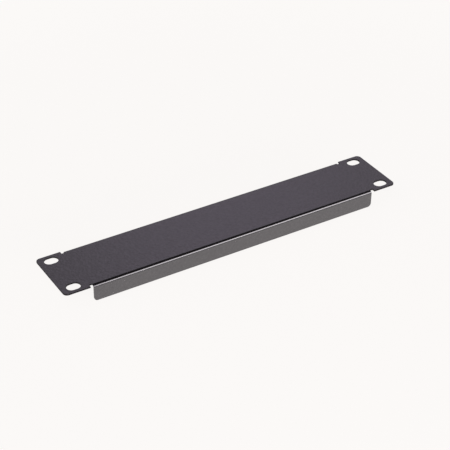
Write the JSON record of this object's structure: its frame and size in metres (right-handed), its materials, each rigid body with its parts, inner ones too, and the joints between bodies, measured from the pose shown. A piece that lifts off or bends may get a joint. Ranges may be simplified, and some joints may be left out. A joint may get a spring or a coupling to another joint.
{
  "type": "rack blanking panel",
  "caption": "One-unit blanking panel for a 10-inch rack, folded from one steel sheet, with slotted ears and two flanges.",
  "frame": {"origin": "level with the edges of the two flanges, under the middle of the face", "axes": "+X along the panel, +Y across it, +Z out of its front face; the panel lies face up on its flange edges"},
  "size_m": [0.254, 0.0436, 0.0122],
  "materials": {
    "black_coat": "semi-gloss black powder coat, fine texture"
  },
  "bodies": {
    "root": {"blanking_panel": "black_coat"}
  },
  "joints": []
}
